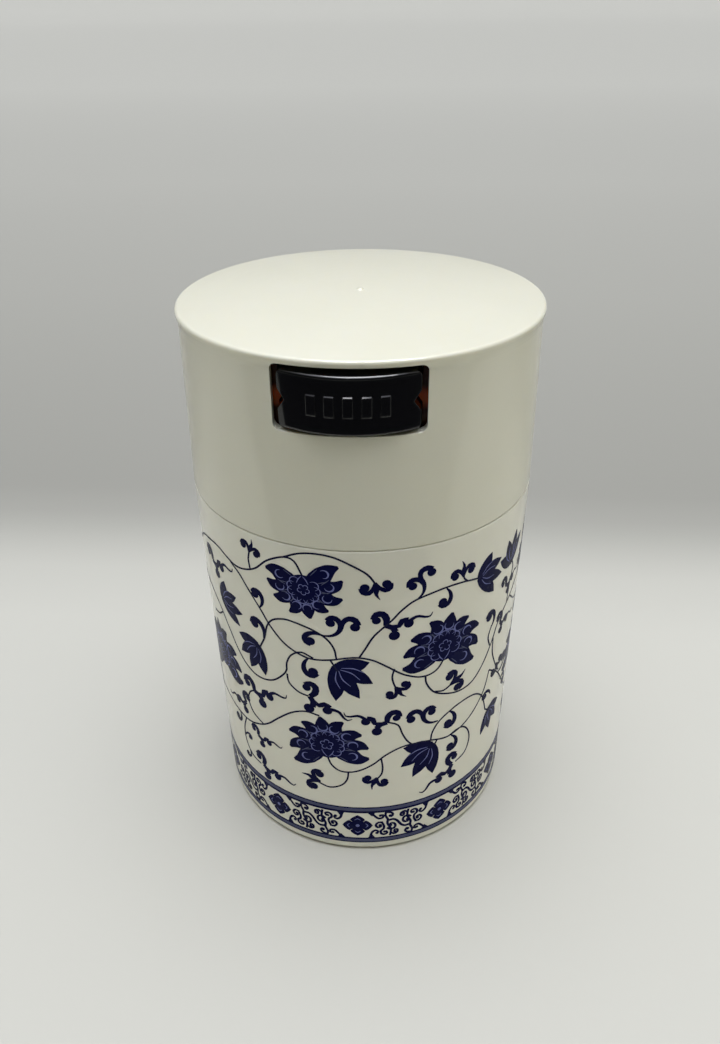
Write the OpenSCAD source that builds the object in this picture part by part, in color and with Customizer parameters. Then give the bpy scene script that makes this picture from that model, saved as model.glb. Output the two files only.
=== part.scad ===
// Push-button vacuum canister: a moulded cup, a pull-off cap with a plug that seals in the
// cup's bore, and a sprung button in the cap that wedges a vent valve open.
// +Z is up, the origin is the centre of the base, and the button faces -Y.

/* [Overall] */
// Height from the base to the middle of the cap's domed top
total_h = 152.4; // [147.4:1:161.4]
// Outer diameter at the parting line, where the canister is widest
body_d = 90; // [88:1:94]
// Outer diameter just above the base
base_d = 86.6; // [84:0.2:88]
// Height of the parting line between cup and cap
parting_z = 105.5; // [100:0.5:106]

/* [Cup] */
// Outer diameter of the neck that the cap slides over
neck_d = 85.2; // [84:0.2:85.4]
// Bore diameter at the rim
bore_d = 80.8; // [80.6:0.1:81]
// Draft of the bore, as a loss of radius from rim to floor
bore_draft = 0.5; // [0.2:0.1:1]
// Thickness of the floor at the middle
floor_t = 1.6; // [1.2:0.1:2.4]
// Height of the recess under the floor, inside the standing ring
foot_h = 1; // [0.6:0.1:1.5]
// Inner diameter of the standing ring
foot_d = 78; // [70:1:80]

/* [Cap] */
// Outer diameter just under the top lip
cap_top_d = 88.6; // [87:0.2:89]
// How far the top lip stands out from the wall
lip_out = 0.5; // [0.2:0.1:0.8]
// Thickness of the top
cap_top_t = 2; // [1.8:0.1:2.4]
// Rise of the domed top, from its rim to its middle
top_rise = 1.4; // [1:0.1:2]
// Clear height between the seal plate and the underside of the top
works_h = 19.4; // [19.2:0.1:20]

/* [Button] */
// Width of the button
button_w = 30.2; // [29:0.2:31]
// Height of the button's face
button_h = 13.3; // [12.6:0.1:13.4]
// Radius of the button's bowed face, in plan
face_r = 26.8; // [26:0.2:28]
// How far the middle of the face stands in front of the canister's axis
face_y = 46.2; // [45.6:0.1:46.6]
// Travel of the button
button_travel = 3; // [2:0.5:3]
// Gap between button and window at each side
side_gap = 1.4; // [1:0.1:1.6]

/* [Valve] */
// Radius of the vent hole
vent_r = 3; // [2:0.5:3]
// Lift of the valve for each millimetre of button travel
lift_ratio = 0.6; // [0.4:0.05:0.6]
// Width of the stem's square post
post_w = 5; // [4.6:0.1:5.2]

/* [Hidden] */
$fn = 96;
eps = 0.01;
slide_gap = 0.1;     // between a sliding piece and its guide
edge_r = 0.3;        // rounding of the parting line's two edges

// cup
parting_r = body_d / 2;
base_r = base_d / 2;
neck_r = neck_d / 2;
bore_r = bore_d / 2;
bore_floor_r = bore_r - bore_draft;
foot_r = foot_d / 2;
foot_round = 1.8;
floor_z = foot_h + floor_t;
floor_round = 3;
rim_chamfer = 0.5;

// cap
rim_z = total_h - top_rise;
top_under_z = rim_z - cap_top_t;
plate_top_z = top_under_z - works_h;
plate_t = 2;
plate_z = plate_top_z - plate_t;
neck_top_z = plate_z - 1.1;
skirt_z = parting_z + 0.2;
cap_bore_r = neck_r + 0.3;
cap_inner_r = cap_bore_r - 0.9;
cap_top_r = cap_top_d / 2;
lip_r = cap_top_r + lip_out;
lip_round = 0.8;
lip_h = 3.4;
lip_centre_r = lip_r - lip_round;
dome_r = (pow(lip_centre_r, 2) + pow(top_rise + lip_round, 2) - pow(lip_round, 2))
    / (2 * top_rise);
dome_angle = acos(lip_centre_r / (dome_r - lip_round)); // where the lip's rounding meets the dome
dome_steps = 12;
snap_count = 6;
snap_angle = 20;
snap_out = 0.55;
snap_h = 0.8;

// button and its window
button_z = top_under_z - 0.8 - button_h;
button_top_z = button_z + button_h;
button_mid_z = (button_z + button_top_z) / 2;
half_w = button_w / 2;
face_centre_y = face_r - face_y;
button_back_y = -30;
corner_r = 1.5;
face_edge_r = 0.8;
face_wall = 2;
button_wall = 1.5;
window_half_w = half_w + side_gap;
window_z = button_z - 0.7;
window_top_z = top_under_z + 0.4;
notch_depth = 1.5;
notch_half_h = 2.3;
side_wall = notch_depth + 1.9;
bar_count = 5;
bar_angle = 4.4;
bar_pitch = 8.4;
bar_h = 4.8;
bar_out = 0.3;
stop_half_w = 12.5;
stop_y = -39.6;
stop_t = 1.6;
stop_drop = 2.3;

// tongue behind the button, which ends in a fork with two ramps
tongue_half_w = 9.9;
tongue_t = 2.2;
fork_slot_w = post_w + 1.2;
prong_out = 8;
fork_root_y = -post_w / 2 - button_travel - 0.7;
ramp_tip_y = 2.9;
ramp_top_y = -post_w / 2 - button_travel - 0.3;
ramp_mid_z = button_z + 3.1;
ramp_top_z = ramp_mid_z - lift_ratio * ramp_top_y;

// valve
valve_lift = lift_ratio * button_travel;
seat_h = 0.6;
seat_w = 1.4;
pad_r = 6;
pad_z = plate_top_z + seat_h + 0.05;
pad_t = 1.5;
flange_r = 6.4;
flange_z = pad_z + pad_t;
flange_t = 1;
stub_r = 1.5;
stub_t = 1;
arm_half_w = 8;
arm_half_d = 2.6;
spring_seat_r = 7.8;
spring_seat_t = 1;
spring_seat_z = ramp_top_z + 0.2;
post_top_z = top_under_z - valve_lift - 0.3;
boss_wall = 1.6;
boss_z = spring_seat_z + spring_seat_t + valve_lift + 0.3;

// guides that stand on the seal plate
rail_x = tongue_half_w + slide_gap;
rail_t = 2;
rail_front_y = button_back_y + button_travel + 0.5;
rail_back_y = -9;
rail_lip = 1.2;
rib_front_y = -34.2;
rib_x = 5;
rib_t = 1.5;
spring_wall_y = -25.5;
spring_wall_t = 2;
spring_wall_z = button_z + tongue_t + 0.2;
spring_wall_top_z = top_under_z - 2.5;
cheek_x = half_w + 0.25;
cheek_t = 1.7;
cheek_front_y = -37.6;
cheek_back_y = -28;
cheek_top_z = top_under_z - 1.5;

// plug and lip seal
plug_r = bore_r - 0.5;
plug_wall = 3.9;
plug_in_r = plug_r - plug_wall;
plug_z = plate_z - 12.6;
plug_chamfer = 0.8;
groove_z = plug_z + 3.3;
groove_h = 4.2;
groove_depth = 1.9;
groove_r = plug_r - groove_depth;
seal_z = groove_z + 0.1;
seal_h = groove_h - 0.2;
seal_in_r = groove_r + 0.05;
seal_lip_r = bore_r - 0.1;
seal_web_r = plug_r - 0.2;
plate_rib_count = 8;
plate_rib_t = 1.2;
plate_rib_h = 2;
hub_r = 8;

// springs: wire radius, mean coil radius, turns
button_spring_x = 7;
button_spring_z = button_mid_z + 1;
button_spring_y = -40;
button_spring_wire = 0.25;
button_spring_r = 2.1;
button_spring_turns = 9;
spring_pin_r = 1.5;
spring_pin_l = 2;
spring_boss_r = 2.6;
valve_spring_wire = 0.35;
valve_spring_r = 6.9;
valve_spring_turns = 5;

// Points of an arc about (x, z), from angle a to angle b.
function arc(x, z, r, a, b, steps = 6) = [
    for (i = [0 : steps])
        let (t = a + (b - a) * i / steps)
        [x + r * cos(t), z + r * sin(t)]
];

// Outline of a rectangle with round corners, from (-w, low) to (w, high).
function round_box(w, low, high, r) = concat(
    arc(w - r, high - r, r, 0, 90),
    arc(-w + r, high - r, r, 90, 180),
    arc(-w + r, low + r, r, 180, 270),
    arc(w - r, low + r, r, 270, 360)
);

// A box from its lowest to its highest corner.
module block(low, high) {
    translate(low) cube(high - low);
}

// The same piece on the left and on the right.
module both_sides() {
    children();
    mirror([1, 0, 0]) children();
}

// An outline drawn in X and Z, pushed out along Y from y to y + depth.
module along_y(outline, y, depth) {
    translate([0, y + depth, 0]) rotate([90, 0, 0]) linear_extrude(depth) polygon(outline);
}

// An outline drawn in Y and Z, pushed out along X from x to x + width.
module along_x(outline, x, width) {
    translate([x, 0, 0]) rotate([90, 0, 90]) linear_extrude(width) polygon(outline);
}

// Height of the wire's middle at turn u of a spring with closed ends.
function coil_rise(u, turns, length, wire) =
    let (closed = 2.1 * wire)
    u < 1 ? wire + closed * u :
    u > turns - 1 ? length - wire - closed * (turns - u) :
    wire + closed + (length - 2 * wire - 2 * closed) * (u - 1) / (turns - 2);

// A compression spring that stands on the XY plane.
module coil_spring(length, coil_r, wire, turns, steps = 20, sides = 8) {
    rings = turns * steps;
    points = [
        for (i = [0 : rings])
            let (a = 360 * i / steps, z = coil_rise(i / steps, turns, length, wire))
            for (k = [0 : sides - 1])
                let (b = 360 * k / sides, r = coil_r + wire * cos(b))
                [r * cos(a), r * sin(a), z + wire * sin(b)]
    ];
    tube = [
        for (i = [0 : rings - 1])
            for (k = [0 : sides - 1])
                let (n = (k + 1) % sides)
                [i * sides + k, (i + 1) * sides + k, (i + 1) * sides + n, i * sides + n]
    ];
    first_end = [for (k = [0 : sides - 1]) k];
    last_end = [for (k = [sides - 1 : -1 : 0]) rings * sides + k];
    polyhedron(points, concat(tube, [first_end, last_end]));
}

// The cup: drafted wall, neck above the parting line, and a standing ring under the floor.
module cup() {
    color("ivory") rotate_extrude() polygon(concat(
        [[0, foot_h], [foot_r - foot_h / 2, foot_h], [foot_r, 0]],
        arc(base_r - foot_round, foot_round, foot_round, -90, 0),
        arc(parting_r - edge_r, parting_z - edge_r, edge_r, 0, 90, 4),
        [
            [neck_r + edge_r, parting_z],
            [neck_r, parting_z + edge_r],
            [neck_r, neck_top_z - 2 * rim_chamfer],
            [neck_r - rim_chamfer, neck_top_z],
            [bore_r + rim_chamfer, neck_top_z],
            [bore_r, neck_top_z - rim_chamfer]
        ],
        arc(bore_floor_r - floor_round, floor_z + floor_round, floor_round, 0, -90),
        [[0, floor_z]]
    ));
}

// Outline of the cap, turned about Z: skirt, wall, lip and domed top.
function cap_outline() = concat(
    [[cap_bore_r + rim_chamfer, skirt_z]],
    arc(parting_r - edge_r, skirt_z + edge_r, edge_r, -90, 0, 4),
    [
        [cap_top_r, rim_z - lip_h],
        [cap_top_r + 0.08, rim_z - lip_h + 0.8],
        [cap_top_r + 0.22, rim_z - lip_h + 1.4],
        [lip_r - 0.08, rim_z - lip_round - 0.55]
    ],
    arc(lip_centre_r, rim_z - lip_round, lip_round, 0, dome_angle),
    arc(0, total_h - dome_r, dome_r, dome_angle + (90 - dome_angle) / dome_steps, 90, dome_steps - 1),
    [[0, top_under_z]],
    arc(cap_inner_r - edge_r, top_under_z - edge_r, edge_r, 90, 0, 4),
    [
        [cap_inner_r, plate_top_z],
        [cap_bore_r, plate_top_z],
        [cap_bore_r, skirt_z + rim_chamfer]
    ]
);

// Beads inside the cap that the seal plate snaps over.
module snap_beads() {
    for (i = [0 : snap_count - 1])
        rotate(360 * i / snap_count)
            rotate_extrude(angle = snap_angle) polygon([
                [cap_bore_r + 0.6, plate_z - snap_h],
                [cap_bore_r + 0.6, plate_z],
                [cap_bore_r - snap_out, plate_z],
                [cap_bore_r - snap_out, plate_z - snap_h / 2]
            ]);
}

// Square tube under the top, which guides the valve's post.
module post_guide() {
    inner = post_w / 2 + slide_gap;
    outer = inner + boss_wall;
    difference() {
        block([-outer, -outer, boss_z], [outer, outer, top_under_z + eps]);
        block([-inner, -inner, boss_z - 1], [inner, inner, top_under_z]);
    }
}

// The mark that the moulding gate leaves in the middle of the top.
module gate_mark() {
    mark_r = 1.1;
    mark_h = 0.35;
    translate([0, 0, total_h - 0.2]) cylinder(r1 = mark_r, r2 = mark_r / 2, h = 0.2 + mark_h);
}

// The cap's outer shell, with the button's window in front.
module cap_shell() {
    color("ivory") {
        difference() {
            union() {
                rotate_extrude() polygon(cap_outline());
                snap_beads();
            }
            along_y(round_box(window_half_w, window_z, window_top_z, corner_r), -body_d, body_d / 2 + 15);
        }
        post_guide();
        gate_mark();
    }
}

// Plate, vent seat, and the plug with its seal groove, turned about Z.
function plate_outline() = [
    [vent_r, plate_z],
    [plug_in_r, plate_z],
    [plug_in_r, plug_z + plug_chamfer],
    [plug_in_r + plug_chamfer, plug_z],
    [plug_r - plug_chamfer, plug_z],
    [plug_r, plug_z + plug_chamfer],
    [plug_r, groove_z],
    [groove_r, groove_z],
    [groove_r, groove_z + groove_h],
    [plug_r, groove_z + groove_h],
    [plug_r, plate_z],
    [cap_bore_r - slide_gap, plate_z],
    [cap_bore_r - slide_gap, plate_top_z],
    [vent_r + seat_w, plate_top_z],
    [vent_r + seat_w * 0.7, plate_top_z + seat_h],
    [vent_r + seat_w * 0.3, plate_top_z + seat_h],
    [vent_r, plate_top_z + seat_h * 0.7]
];

// Ribs and hub that stiffen the plate from below.
module plate_ribs() {
    low = plate_z - plate_rib_h;
    for (i = [0 : plate_rib_count - 1])
        rotate(360 * i / plate_rib_count)
            block([hub_r - 1, -plate_rib_t / 2, low], [plug_in_r + 1, plate_rib_t / 2, plate_z + 1]);
    translate([0, 0, low]) difference() {
        cylinder(r = hub_r, h = plate_rib_h + 1);
        translate([0, 0, -1]) cylinder(r = hub_r - plate_rib_t, h = plate_rib_h + 1);
    }
}

// Rails beside the tongue, and the ribs that it slides on.
module tongue_guides() {
    base_z = plate_top_z - 1;
    lip_z = button_z + tongue_t + 0.2;
    both_sides() {
        block([rail_x, rail_front_y, base_z], [rail_x + rail_t, rail_back_y, lip_z + rail_lip]);
        block([rail_x - rail_lip, rail_front_y, lip_z], [rail_x + 1, rail_back_y, lip_z + rail_lip]);
        block([rib_x, rib_front_y, base_z], [rib_x + rib_t, rail_back_y, button_z - slide_gap]);
    }
}

// Wall that the button's springs push against, with a pin in each spring.
module spring_wall() {
    block(
        [-rail_x - rail_t, spring_wall_y, spring_wall_z],
        [rail_x + rail_t, spring_wall_y + spring_wall_t, spring_wall_top_z]
    );
    both_sides()
        translate([button_spring_x, spring_wall_y + eps, button_spring_z])
            rotate([90, 0, 0]) cylinder(r = spring_pin_r, h = spring_pin_l);
}

// Cheeks behind the window's sides, each with the V-rail that runs in the button's notch.
module cheeks() {
    apex_x = half_w - notch_depth + 0.25;
    apex_half_h = notch_half_h - 0.25;
    both_sides() {
        block([cheek_x, cheek_front_y, plate_top_z - 1], [cheek_x + cheek_t, cheek_back_y, cheek_top_z]);
        along_y([
            [cheek_x + 1, button_mid_z - apex_half_h],
            [cheek_x + 1, button_mid_z + apex_half_h],
            [cheek_x, button_mid_z + apex_half_h],
            [apex_x, button_mid_z],
            [cheek_x, button_mid_z - apex_half_h]
        ], cheek_front_y, cheek_back_y - cheek_front_y);
    }
}

// The inner lid, snapped into the cap: it plugs the cup and carries the works.
module seal_plate() {
    color("saddlebrown") {
        rotate_extrude() polygon(plate_outline());
        plate_ribs();
        tongue_guides();
        spring_wall();
        cheeks();
    }
}

// Rubber ring in the plug's groove, with two ridges that wipe the bore.
module lid_seal() {
    top = seal_z + seal_h;
    ridge = 0.5;
    color("dimgray") rotate_extrude() polygon([
        [seal_in_r, seal_z],
        [seal_web_r, seal_z],
        [seal_lip_r, seal_z + ridge],
        [seal_lip_r, seal_z + 2 * ridge],
        [seal_web_r, seal_z + 3 * ridge],
        [seal_web_r, top - 3 * ridge],
        [seal_lip_r, top - 2 * ridge],
        [seal_lip_r, top - ridge],
        [seal_web_r, top],
        [seal_in_r, top]
    ]);
}

// Solid of the button's face: bowed in plan, with its top and bottom edges rounded.
module bowed_solid(r, low, high, round_r) {
    translate([0, face_centre_y, 0]) rotate_extrude() polygon(concat(
        [[0, low]],
        arc(r - round_r, low + round_r, round_r, -90, 0),
        arc(r - round_r, high - round_r, round_r, 0, 90),
        [[0, high]]
    ));
}

// Front view of the button: round corners, and a V-notch in each side.
function button_outline() = concat(
    arc(half_w - corner_r, button_top_z - corner_r, corner_r, 0, 90),
    arc(-half_w + corner_r, button_top_z - corner_r, corner_r, 90, 180),
    [
        [-half_w, button_mid_z + notch_half_h],
        [-half_w + notch_depth, button_mid_z],
        [-half_w, button_mid_z - notch_half_h]
    ],
    arc(-half_w + corner_r, button_z + corner_r, corner_r, 180, 270),
    arc(half_w - corner_r, button_z + corner_r, corner_r, 270, 360),
    [
        [half_w, button_mid_z - notch_half_h],
        [half_w - notch_depth, button_mid_z],
        [half_w, button_mid_z + notch_half_h]
    ]
);

// Raised bars on the face, for grip.
module grip_bars() {
    middle = (bar_count - 1) / 2;
    translate([0, face_centre_y, button_mid_z - bar_h / 2])
        for (i = [0 : bar_count - 1])
            rotate(-90 + (i - middle) * bar_pitch - bar_angle / 2)
                rotate_extrude(angle = bar_angle) polygon([
                    [face_r - 1, 0],
                    [face_r, 0],
                    [face_r + bar_out, bar_out],
                    [face_r + bar_out, bar_h - bar_out],
                    [face_r, bar_h],
                    [face_r - 1, bar_h]
                ]);
}

// Tongue, fork and ramps. The ramps fall towards +Y, so a press lifts what lies on them.
module tongue() {
    ramp_front_y = ramp_top_y - 2;
    difference() {
        union() {
            block([-tongue_half_w, button_back_y - 8, button_z], [tongue_half_w, -11, button_z + tongue_t]);
            block([-prong_out, -12, button_z], [prong_out, ramp_top_y, button_z + tongue_t]);
            along_x([
                [ramp_front_y, button_z],
                [ramp_tip_y, button_z],
                [ramp_tip_y, ramp_mid_z - lift_ratio * ramp_tip_y],
                [ramp_top_y, ramp_top_z],
                [ramp_front_y, ramp_top_z]
            ], -prong_out, 2 * prong_out);
        }
        block([-fork_slot_w / 2, fork_root_y, button_z - 1], [fork_slot_w / 2, ramp_tip_y + 1, ramp_top_z + 1]);
    }
}

// The push button: a hollow bowed face, two spring seats, a stop, and the tongue.
module button() {
    cavity_half_w = half_w - side_wall;
    color("black") {
        difference() {
            intersection() {
                bowed_solid(face_r, button_z, button_top_z, face_edge_r);
                along_y(button_outline(), -face_y - 1, face_y + 1 + button_back_y);
            }
            intersection() {
                bowed_solid(face_r - face_wall, button_z + tongue_t, button_top_z - button_wall, 0.4);
                block(
                    [-cavity_half_w, -face_y, button_z],
                    [cavity_half_w, button_back_y + 1, button_top_z]
                );
            }
        }
        grip_bars();
        tongue();
        block([-stop_half_w, stop_y, button_z - stop_drop], [stop_half_w, stop_y + stop_t, button_z + 1]);
        both_sides() translate([button_spring_x, button_spring_y, button_spring_z]) rotate([90, 0, 0]) {
            cylinder(r = spring_boss_r, h = 3);
            translate([0, 0, -spring_pin_l]) cylinder(r = spring_pin_r, h = spring_pin_l + 1);
        }
    }
}

// One of the two springs behind the button, at x.
module button_spring(x) {
    color("silver") translate([x, button_spring_y, button_spring_z]) rotate([-90, 0, 0])
        coil_spring(
            spring_wall_y - button_spring_y, button_spring_r, button_spring_wire, button_spring_turns
        );
}

module button_spring_left() {
    button_spring(-button_spring_x);
}

module button_spring_right() {
    button_spring(button_spring_x);
}

// Plunger: flange over the vent, square post, and arms that ride on the ramps.
module valve_stem() {
    half = post_w / 2;
    follow = ramp_mid_z + slide_gap;
    color("gainsboro") {
        translate([0, 0, flange_z]) cylinder(r = flange_r, h = flange_t);
        translate([0, 0, flange_z - stub_t]) cylinder(r = stub_r, h = stub_t + eps);
        block([-half, -half, flange_z + flange_t - eps], [half, half, post_top_z]);
        along_x([
            [-arm_half_d, follow + lift_ratio * arm_half_d],
            [arm_half_d, follow - lift_ratio * arm_half_d],
            [arm_half_d, spring_seat_z + eps],
            [-arm_half_d, spring_seat_z + eps]
        ], -arm_half_w, 2 * arm_half_w);
        translate([0, 0, spring_seat_z]) cylinder(r = spring_seat_r, h = spring_seat_t);
    }
}

// Rubber disc that closes the vent.
module valve_pad() {
    color("dimgray") translate([0, 0, pad_z]) difference() {
        cylinder(r = pad_r, h = pad_t);
        translate([0, 0, pad_t - stub_t - 0.1]) cylinder(r = stub_r + 0.02, h = stub_t + 1);
    }
}

// Spring between the plunger and the underside of the cap's top.
module valve_spring() {
    low = spring_seat_z + spring_seat_t;
    color("silver") translate([0, 0, low])
        coil_spring(top_under_z - low, valve_spring_r, valve_spring_wire, valve_spring_turns, 28);
}

cup();
cap_shell();
seal_plate();
lid_seal();
button();
button_spring_left();
button_spring_right();
valve_stem();
valve_pad();
valve_spring();
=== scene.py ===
"""Looks of the push-button canister: materials, springs, the screen print on the cup, and stage.

Lengths of the print are in millimetres on the flat sheet, and everything else is in metres.
"""
import math
from itertools import product

import bpy
from mathutils import Matrix, Vector
from mathutils.geometry import delaunay_2d_cdt


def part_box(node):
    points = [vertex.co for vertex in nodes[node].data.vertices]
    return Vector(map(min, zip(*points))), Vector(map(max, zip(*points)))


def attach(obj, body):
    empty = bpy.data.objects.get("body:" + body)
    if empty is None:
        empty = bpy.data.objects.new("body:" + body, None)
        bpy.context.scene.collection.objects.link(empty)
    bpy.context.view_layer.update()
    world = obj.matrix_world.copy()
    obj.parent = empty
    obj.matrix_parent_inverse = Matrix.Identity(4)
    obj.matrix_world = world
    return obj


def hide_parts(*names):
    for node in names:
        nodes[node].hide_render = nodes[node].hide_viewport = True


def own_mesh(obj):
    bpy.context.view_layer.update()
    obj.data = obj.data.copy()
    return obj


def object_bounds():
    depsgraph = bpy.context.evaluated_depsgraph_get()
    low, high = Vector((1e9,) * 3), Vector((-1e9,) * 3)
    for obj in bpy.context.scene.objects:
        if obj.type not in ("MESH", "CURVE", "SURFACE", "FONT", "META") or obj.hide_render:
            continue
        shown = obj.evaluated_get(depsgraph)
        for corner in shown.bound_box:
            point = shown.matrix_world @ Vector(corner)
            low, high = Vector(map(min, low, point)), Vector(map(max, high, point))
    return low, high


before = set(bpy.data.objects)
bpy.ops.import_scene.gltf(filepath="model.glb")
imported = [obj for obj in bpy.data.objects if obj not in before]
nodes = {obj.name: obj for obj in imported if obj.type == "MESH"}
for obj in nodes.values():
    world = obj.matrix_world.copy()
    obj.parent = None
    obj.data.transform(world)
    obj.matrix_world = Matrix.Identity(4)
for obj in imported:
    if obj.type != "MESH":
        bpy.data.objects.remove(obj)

cad_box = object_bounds()
scene = bpy.context.scene
MM = 0.001


def new_object(name, data):
    """An object in the scene, made of a mesh, a light or a camera."""
    made = bpy.data.objects.new(name, data)
    scene.collection.objects.link(made)
    return made


def new_mesh(name, vertices, faces, materials):
    """A smooth-shaded mesh with its materials."""
    mesh = bpy.data.meshes.new(name)
    mesh.from_pydata(vertices, [], faces)
    mesh.polygons.foreach_set("use_smooth", [True] * len(faces))
    for material in materials:
        mesh.materials.append(material)
    return mesh


# ---------------------------------------------------------------- nodes of a material

NOISE_LOW, NOISE_HIGH = 0.3, 0.7     # the greater part of a noise pattern lies between these


def feed(node, inputs):
    """Gives each named input of a node its value, or links it to an output of another node."""
    for name, source in inputs.items():
        socket = node.inputs[name]
        if isinstance(source, bpy.types.NodeSocket):
            node.id_data.links.new(source, socket)
        elif socket.type == "RGBA":
            socket.default_value = (*source, 1)
        else:
            socket.default_value = source


def add_node(tree, kind, inputs, **settings):
    """A new node of a kind, with its settings and its inputs."""
    node = tree.nodes.new("ShaderNode" + kind)
    for name, setting in settings.items():
        setattr(node, name, setting)
    feed(node, inputs)
    return node


def coordinate(tree, axis, kind="Object"):
    """One coordinate of the point that is being shaded."""
    point = add_node(tree, "TexCoord", {}).outputs[kind]
    return add_node(tree, "SeparateXYZ", {"Vector": point}).outputs[axis]


def noise(tree, size, detail=2):
    """Noise that is fixed to the piece, with features of about that size in metres."""
    point = add_node(tree, "TexCoord", {}).outputs["Object"]
    inputs = {"Vector": point, "Scale": 1 / size, "Detail": detail}
    return add_node(tree, "TexNoise", inputs).outputs["Fac"]


def calculated(tree, operation, first, second=0, **settings):
    """The result of arithmetic on one value, or on two."""
    inputs = {0: first, 1: second}
    return add_node(tree, "Math", inputs, operation=operation, **settings).outputs["Value"]


def ramp(tree, value, start, end, low=0, high=1, **settings):
    """A value that runs from low to high while another runs from start to end."""
    inputs = {"Value": value, "From Min": start, "From Max": end, "To Min": low, "To Max": high}
    return add_node(tree, "MapRange", inputs, **settings).outputs["Result"]


def spread(tree, pattern, low=0, high=1):
    """A value that runs from low to high with a noise pattern."""
    return ramp(tree, pattern, NOISE_LOW, NOISE_HIGH, low, high)


def mixed(tree, factor, first, second):
    """A colour that runs from first to second while the factor runs from 0 to 1."""
    inputs = {"Factor": factor, "A": first, "B": second}
    return add_node(tree, "Mix", inputs, data_type="RGBA").outputs["Result"]


# ---------------------------------------------------------------- materials

def shader_of(material):
    """The shader node of a Principled material."""
    return material.node_tree.nodes["Principled BSDF"]


def new_material(name, colour, roughness):
    """A Principled material that is one colour so far."""
    material = bpy.data.materials.new(name)
    material.use_nodes = True
    feed(shader_of(material), {"Base Color": colour, "Roughness": roughness})
    return material


def bump(material, height, depth, edge_radius=0):
    """Raises the surface by a height pattern, and rounds its edges if a radius is given."""
    tree = material.node_tree
    inputs = {"Height": height, "Distance": depth}
    if edge_radius:
        edge = add_node(tree, "Bevel", {"Radius": edge_radius}, samples=6)
        inputs["Normal"] = edge.outputs["Normal"]
    feed(shader_of(material), {"Normal": add_node(tree, "Bump", inputs).outputs["Normal"]})


def moulded_plastic(name, colour, second, roughness, depth=0.004 * MM, edge_radius=0):
    """Moulded plastic: faint clouds of a second colour, uneven gloss, and a fine orange peel."""
    material = new_material(name, colour, roughness)
    tree = material.node_tree
    clouds = spread(tree, noise(tree, 22 * MM, 3))
    smears = noise(tree, 6 * MM, 5)
    feed(shader_of(material), {
        "Base Color": mixed(tree, clouds, colour, second),
        "Roughness": spread(tree, smears, 0.8 * roughness, 1.3 * roughness),
    })
    bump(material, noise(tree, 1.1 * MM), depth, edge_radius)
    return material


def white_plastic(name, colour, second):
    """Glossy white plastic that lets a little light in."""
    material = moulded_plastic(name, colour, second, 0.1, edge_radius=0.25 * MM)
    feed(shader_of(material), {
        "IOR": 1.5,
        "Subsurface Weight": 0.25,
        "Subsurface Radius": (1, 0.9, 0.7),
        "Subsurface Scale": 1.2 * MM,
    })
    return material


def smoked_plastic():
    """Very glossy plastic, near black."""
    return moulded_plastic(
        "smoked_plastic", (0.001, 0.0012, 0.0016), (0.002, 0.002, 0.0025), 0.06,
        depth=0.002 * MM, edge_radius=0.25 * MM,
    )


def amber_plastic(painted_glow_height):
    """Clear brown plastic, nearly black, with a painted glow: its base colour turns amber in a band
    at that height, level with the notches in the button's sides, where light passes through it."""
    black, amber = (0.05, 0.012, 0.004), (0.6, 0.1, 0.012)
    painted_glow_near, painted_glow_far = 0.5 * MM, 3 * MM
    material = moulded_plastic("amber_plastic", black, black, 0.12, edge_radius=0.15 * MM)
    tree = material.node_tree
    above = calculated(tree, "SUBTRACT", coordinate(tree, "Z"), painted_glow_height)
    distance = calculated(tree, "ABSOLUTE", above)
    # painted glow: the colour is amber near that height and black away from it
    painted_glow = ramp(tree, distance, painted_glow_near, painted_glow_far, 1, 0, interpolation_type="SMOOTHSTEP")
    feed(shader_of(material), {
        "Base Color": mixed(tree, painted_glow, black, amber),
        "IOR": 1.5,
        "Subsurface Weight": 0.3,
        "Subsurface Radius": (2, 0.6, 0.2),
        "Subsurface Scale": 1 * MM,
    })
    return material


def satin_plastic():
    """Natural plastic with a satin skin, for works that nobody sees."""
    return moulded_plastic(
        "satin_plastic", (0.6, 0.59, 0.54), (0.68, 0.67, 0.62), 0.38,
        depth=0.01 * MM, edge_radius=0.15 * MM,
    )


def rubber():
    """Dark rubber with a dusty, uneven sheen."""
    material = new_material("rubber", (0.03, 0.03, 0.032), 0.6)
    tree = material.node_tree
    dust = spread(tree, noise(tree, 4 * MM, 5))
    feed(shader_of(material), {
        "Base Color": mixed(tree, dust, (0.024, 0.024, 0.026), (0.06, 0.06, 0.058)),
        "Roughness": spread(tree, noise(tree, 2 * MM, 3), 0.5, 0.72),
    })
    bump(material, noise(tree, 0.3 * MM, 3), 0.02 * MM)
    return material


def spring_steel():
    """Drawn wire: bright metal with fine marks and faint stains."""
    material = new_material("spring_steel", (0.62, 0.61, 0.59), 0.22)
    tree = material.node_tree
    marks = noise(tree, 0.4 * MM, 4)
    stains = spread(tree, noise(tree, 3 * MM, 3))
    feed(shader_of(material), {
        "Base Color": mixed(tree, stains, (0.66, 0.65, 0.63), (0.52, 0.5, 0.47)),
        "Metallic": 1,
        "Roughness": spread(tree, marks, 0.15, 0.38),
    })
    bump(material, marks, 0.006 * MM)
    return material


def ink(name, colour, second):
    """Screen-printed ink: a little uneven in depth of colour, with a softer gloss than plastic."""
    material = moulded_plastic(name, colour, second, 0.25, depth=0.003 * MM)
    feed(shader_of(material), {"Specular IOR Level": 0.03})
    return material


def paint(node, material):
    """Gives a CAD node one material all over."""
    slots = nodes[node].data.materials
    slots.clear()
    slots.append(material)


button_low, button_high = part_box("button")
rubber_material = rubber()
paint("cup", white_plastic("cup_plastic", (0.86, 0.845, 0.7), (0.845, 0.825, 0.68)))
paint("cap_shell", white_plastic("cap_plastic", (0.81, 0.795, 0.64), (0.795, 0.78, 0.62)))
paint("button", smoked_plastic())
paint("seal_plate", amber_plastic((button_low.z + button_high.z) / 2))
paint("valve_stem", satin_plastic())
for name in ("lid_seal", "valve_pad"):
    paint(name, rubber_material)


# ---------------------------------------------------------------- springs

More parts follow.
